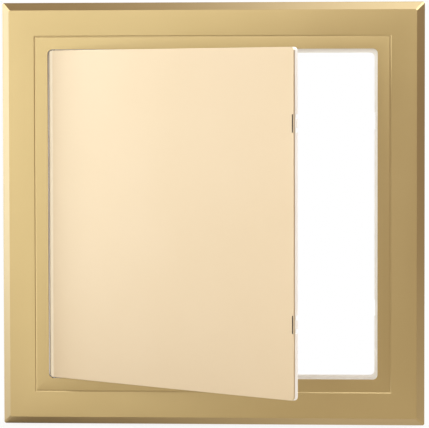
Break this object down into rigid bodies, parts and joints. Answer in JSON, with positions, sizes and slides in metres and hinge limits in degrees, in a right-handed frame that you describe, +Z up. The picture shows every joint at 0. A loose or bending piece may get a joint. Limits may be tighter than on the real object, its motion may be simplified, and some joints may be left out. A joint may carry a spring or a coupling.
{
  "type": "access panel",
  "caption": "Square hinged access panel with a bevelled gold face frame, a mounting sleeve for a wall cut-out and a snap-shut door standing ajar.",
  "frame": {"origin": "middle of the wall cut-out, in the plane of the wall's surface", "axes": "+X to the right, +Y into the wall, +Z up; the front faces -Y"},
  "size_m": [0.218, 0.1325, 0.218],
  "materials": {
    "gold_frame": "satin metallic gold over moulded plastic",
    "gold_door": "satin metallic pale gold over moulded plastic",
    "ivory": "satin moulded plastic",
    "steel": "drawn steel pin"
  },
  "bodies": {
    "frame": {"face_frame": "gold_frame", "mounting_sleeve": "ivory", "upper_hinge_lug": "ivory", "lower_hinge_lug": "ivory", "upper_catch": "ivory", "lower_catch": "ivory"},
    "door": {"door_panel": "gold_door", "door_tray": "ivory", "upper_hinge_pin": "steel", "lower_hinge_pin": "steel"},
    "upper_latch": {"upper_tongue": "ivory"},
    "lower_latch": {"lower_tongue": "ivory"}
  },
  "joints": [
    {"name": "door_hinge", "type": "hinge", "parent": "frame", "child": "door", "pos_m": [-0.0821, -0.00465, 0], "axis": [0, 0, -1], "range_deg": [-39, 56]},
    {"name": "upper_tongue_flex", "type": "hinge", "parent": "door", "child": "upper_latch", "pos_m": [0.04651, -0.10944, 0.048], "axis": [0, 0, 1], "range_deg": [0, 12], "stiffness_Nm_per_rad": 0.1},
    {"name": "lower_tongue_flex", "type": "hinge", "parent": "door", "child": "lower_latch", "pos_m": [0.04651, -0.10944, -0.048], "axis": [0, 0, 1], "range_deg": [0, 12], "stiffness_Nm_per_rad": 0.1}
  ]
}
